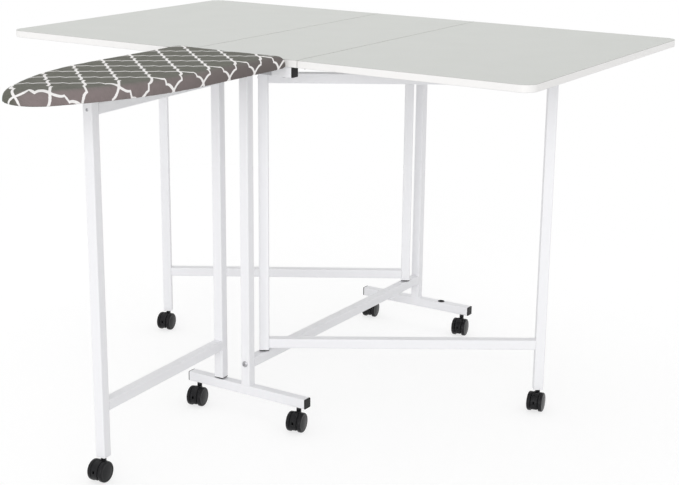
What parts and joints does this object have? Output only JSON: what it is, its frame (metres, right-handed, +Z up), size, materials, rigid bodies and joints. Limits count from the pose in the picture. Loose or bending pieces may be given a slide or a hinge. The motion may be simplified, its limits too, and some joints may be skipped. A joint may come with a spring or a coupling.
{
  "type": "folding sewing and cutting table",
  "caption": "Drop-leaf sewing and cutting table on a folding square-tube frame with casters: two leaves and a padded ironing board, each held up by a swing-out gate.",
  "frame": {"origin": "On the floor, at the middle of the whole footprint: worktop with both leaves open and the ironing board out in front.", "axes": "+X runs along the open worktop, from the left leaf to the right one; +Y runs to the back, away from the ironing board; +Z is up."},
  "size_m": [1.5, 1.6216, 0.933],
  "materials": {
    "grey_laminate": "light grey melamine laminate on particle board, with a white edge band, satin",
    "white_powder_coat": "white powder coat on square steel tube, semi-gloss",
    "black_plastic": "black moulded plastic, matt",
    "black_nylon": "black nylon, slight sheen",
    "black_steel": "black-finished steel, satin",
    "zinc_plated_steel": "bright zinc-plated steel",
    "board_deck": "white-faced board",
    "patterned_cover": "grey woven cotton cover with a white trellis, over foam padding"
  },
  "bodies": {
    "frame": {"back_column": "white_powder_coat", "back_foot": "white_powder_coat", "back_top_bar": "white_powder_coat", "centre_panel": "grey_laminate", "fixed_hinge_wings": "zinc_plated_steel", "frame_bolts": "zinc_plated_steel", "frame_caster_stems": "black_steel", "frame_end_plugs": "black_plastic", "front_column": "white_powder_coat", "front_foot": "white_powder_coat", "front_top_bar": "white_powder_coat", "lower_beam": "white_powder_coat", "pivot_bushes": "black_plastic", "upper_beam": "white_powder_coat"},
    "right_leaf": {"right_leaf": "grey_laminate", "right_leaf_hinge_wings": "zinc_plated_steel"},
    "left_leaf": {"left_leaf": "grey_laminate", "left_leaf_hinge_wings": "zinc_plated_steel"},
    "ironing_board": {"ironing_board_deck": "board_deck", "ironing_board_pad": "patterned_cover", "board_hinge_wings": "zinc_plated_steel"},
    "right_gate": {"right_gate_post": "white_powder_coat", "right_gate_upper_rail": "white_powder_coat", "right_gate_lower_rail": "white_powder_coat", "right_gate_leg": "white_powder_coat", "right_gate_plugs": "black_plastic", "right_gate_caster_stem": "black_steel"},
    "left_gate": {"left_gate_post": "white_powder_coat", "left_gate_upper_rail": "white_powder_coat", "left_gate_lower_rail": "white_powder_coat", "left_gate_leg": "white_powder_coat", "left_gate_plugs": "black_plastic", "left_gate_caster_stem": "black_steel"},
    "ironing_gate": {"ironing_gate_post": "white_powder_coat", "ironing_gate_upper_rail": "white_powder_coat", "ironing_gate_lower_rail": "white_powder_coat", "ironing_gate_leg": "white_powder_coat", "ironing_gate_plugs": "black_plastic", "ironing_gate_caster_stem": "black_steel"},
    "front_left_caster": {"front_left_caster_hood": "black_plastic"},
    "front_left_caster_right_wheel": {"front_left_caster_right_wheel": "black_nylon"},
    "front_left_caster_left_wheel": {"front_left_caster_left_wheel": "black_nylon"},
    "front_right_caster": {"front_right_caster_hood": "black_plastic"},
    "front_right_caster_right_wheel": {"front_right_caster_right_wheel": "black_nylon"},
    "front_right_caster_left_wheel": {"front_right_caster_left_wheel": "black_nylon"},
    "back_left_caster": {"back_left_caster_hood": "black_plastic"},
    "back_left_caster_right_wheel": {"back_left_caster_right_wheel": "black_nylon"},
    "back_left_caster_left_wheel": {"back_left_caster_left_wheel": "black_nylon"},
    "back_right_caster": {"back_right_caster_hood": "black_plastic"},
    "back_right_caster_right_wheel": {"back_right_caster_right_wheel": "black_nylon"},
    "back_right_caster_left_wheel": {"back_right_caster_left_wheel": "black_nylon"},
    "right_gate_caster": {"right_gate_caster_hood": "black_plastic"},
    "right_gate_caster_right_wheel": {"right_gate_caster_right_wheel": "black_nylon"},
    "right_gate_caster_left_wheel": {"right_gate_caster_left_wheel": "black_nylon"},
    "left_gate_caster": {"left_gate_caster_hood": "black_plastic"},
    "left_gate_caster_right_wheel": {"left_gate_caster_right_wheel": "black_nylon"},
    "left_gate_caster_left_wheel": {"left_gate_caster_left_wheel": "black_nylon"},
    "ironing_gate_caster": {"ironing_gate_caster_hood": "black_plastic"},
    "ironing_gate_caster_right_wheel": {"ironing_gate_caster_right_wheel": "black_nylon"},
    "ironing_gate_caster_left_wheel": {"ironing_gate_caster_left_wheel": "black_nylon"}
  },
  "joints": [
    {"name": "right_leaf_hinge", "type": "hinge", "parent": "frame", "child": "right_leaf", "pos_m": [0.1562, 0.36125, 0.9015], "axis": [0, -1, 0], "range_deg": [0, 5]},
    {"name": "left_leaf_hinge", "type": "hinge", "parent": "frame", "child": "left_leaf", "pos_m": [-0.1562, 0.36125, 0.9015], "axis": [0, 1, 0], "range_deg": [0, 5]},
    {"name": "ironing_board_hinge", "type": "hinge", "parent": "frame", "child": "ironing_board", "pos_m": [-0.027, -0.08775, 0.9015], "axis": [-1, 0, 0], "range_deg": [0, 5]},
    {"name": "right_gate_pivot", "type": "hinge", "parent": "frame", "child": "right_gate", "pos_m": [0, 0.00025, 0.156], "axis": [0, 0, 1], "range_deg": [-32.8, 54.6]},
    {"name": "left_gate_pivot", "type": "hinge", "parent": "frame", "child": "left_gate", "pos_m": [0, 0.72225, 0.156], "axis": [0, 0, 1], "range_deg": [-31.9, 55.5]},
    {"name": "ironing_gate_pivot", "type": "hinge", "parent": "frame", "child": "ironing_gate", "pos_m": [-0.0845, -0.07175, 0.0865], "axis": [0, 0, 1], "range_deg": [-183.2, 12]},
    {"name": "front_left_caster_swivel", "type": "hinge", "parent": "frame", "child": "front_left_caster", "pos_m": [-0.1545, -0.07175, 0.0548], "axis": [0, 0, 1], "continuous": true},
    {"name": "front_left_caster_right_wheel_spin", "type": "hinge", "parent": "front_left_caster", "child": "front_left_caster_right_wheel", "pos_m": [-0.13684, -0.08248, 0.025], "axis": [0.9863, 0.165, 0], "continuous": true},
    {"name": "front_left_caster_left_wheel_spin", "type": "hinge", "parent": "front_left_caster", "child": "front_left_caster_left_wheel", "pos_m": [-0.16771, -0.08765, 0.025], "axis": [0.9863, 0.165, 0], "continuous": true},
    {"name": "front_right_caster_swivel", "type": "hinge", "parent": "frame", "child": "front_right_caster", "pos_m": [0.1545, -0.07175, 0.0548], "axis": [0, 0, 1], "continuous": true},
    {"name": "front_right_caster_right_wheel_spin", "type": "hinge", "parent": "front_right_caster", "child": "front_right_caster_right_wheel", "pos_m": [0.17216, -0.08248, 0.025], "axis": [0.9863, 0.165, 0], "continuous": true},
    {"name": "front_right_caster_left_wheel_spin", "type": "hinge", "parent": "front_right_caster", "child": "front_right_caster_left_wheel", "pos_m": [0.14129, -0.08765, 0.025], "axis": [0.9863, 0.165, 0], "continuous": true},
    {"name": "back_left_caster_swivel", "type": "hinge", "parent": "frame", "child": "back_left_caster", "pos_m": [-0.1545, 0.79425, 0.0548], "axis": [0, 0, 1], "continuous": true},
    {"name": "back_left_caster_right_wheel_spin", "type": "hinge", "parent": "back_left_caster", "child": "back_left_caster_right_wheel", "pos_m": [-0.13684, 0.78352, 0.025], "axis": [0.9863, 0.165, 0], "continuous": true},
    {"name": "back_left_caster_left_wheel_spin", "type": "hinge", "parent": "back_left_caster", "child": "back_left_caster_left_wheel", "pos_m": [-0.16771, 0.77835, 0.025], "axis": [0.9863, 0.165, 0], "continuous": true},
    {"name": "back_right_caster_swivel", "type": "hinge", "parent": "frame", "child": "back_right_caster", "pos_m": [0.1545, 0.79425, 0.0548], "axis": [0, 0, 1], "continuous": true},
    {"name": "back_right_caster_right_wheel_spin", "type": "hinge", "parent": "back_right_caster", "child": "back_right_caster_right_wheel", "pos_m": [0.17216, 0.78352, 0.025], "axis": [0.9863, 0.165, 0], "continuous": true},
    {"name": "back_right_caster_left_wheel_spin", "type": "hinge", "parent": "back_right_caster", "child": "back_right_caster_left_wheel", "pos_m": [0.14129, 0.77835, 0.025], "axis": [0.9863, 0.165, 0], "continuous": true},
    {"name": "right_gate_caster_swivel", "type": "hinge", "parent": "right_gate", "child": "right_gate_caster", "pos_m": [0.59176, 0.38161, 0.0548], "axis": [0, 0, 1], "continuous": true},
    {"name": "right_gate_caster_right_wheel_spin", "type": "hinge", "parent": "right_gate_caster", "child": "right_gate_caster_right_wheel", "pos_m": [0.60961, 0.37119, 0.025], "axis": [0.9833, 0.1822, 0], "continuous": true},
    {"name": "right_gate_caster_left_wheel_spin", "type": "hinge", "parent": "right_gate_caster", "child": "right_gate_caster_left_wheel", "pos_m": [0.57883, 0.36549, 0.025], "axis": [0.9833, 0.1822, 0], "continuous": true},
    {"name": "left_gate_caster_swivel", "type": "hinge", "parent": "left_gate", "child": "left_gate_caster", "pos_m": [-0.59768, 0.35023, 0.0548], "axis": [0, 0, 1], "continuous": true},
    {"name": "left_gate_caster_right_wheel_spin", "type": "hinge", "parent": "left_gate_caster", "child": "left_gate_caster_right_wheel", "pos_m": [-0.57983, 0.33981, 0.025], "axis": [0.9833, 0.1822, 0], "continuous": true},
    {"name": "left_gate_caster_left_wheel_spin", "type": "hinge", "parent": "left_gate_caster", "child": "left_gate_caster_left_wheel", "pos_m": [-0.6106, 0.3341, 0.025], "axis": [0.9833, 0.1822, 0], "continuous": true},
    {"name": "ironing_gate_caster_swivel", "type": "hinge", "parent": "ironing_gate", "child": "ironing_gate_caster", "pos_m": [-0.05748, -0.555, 0.0548], "axis": [0, 0, 1], "continuous": true},
    {"name": "ironing_gate_caster_right_wheel_spin", "type": "hinge", "parent": "ironing_gate_caster", "child": "ironing_gate_caster_right_wheel", "pos_m": [-0.04115, -0.56766, 0.025], "axis": [0.9986, 0.0523, 0], "continuous": true},
    {"name": "ironing_gate_caster_left_wheel_spin", "type": "hinge", "parent": "ironing_gate_caster", "child": "ironing_gate_caster_left_wheel", "pos_m": [-0.0724, -0.5693, 0.025], "axis": [0.9986, 0.0523, 0], "continuous": true}
  ]
}
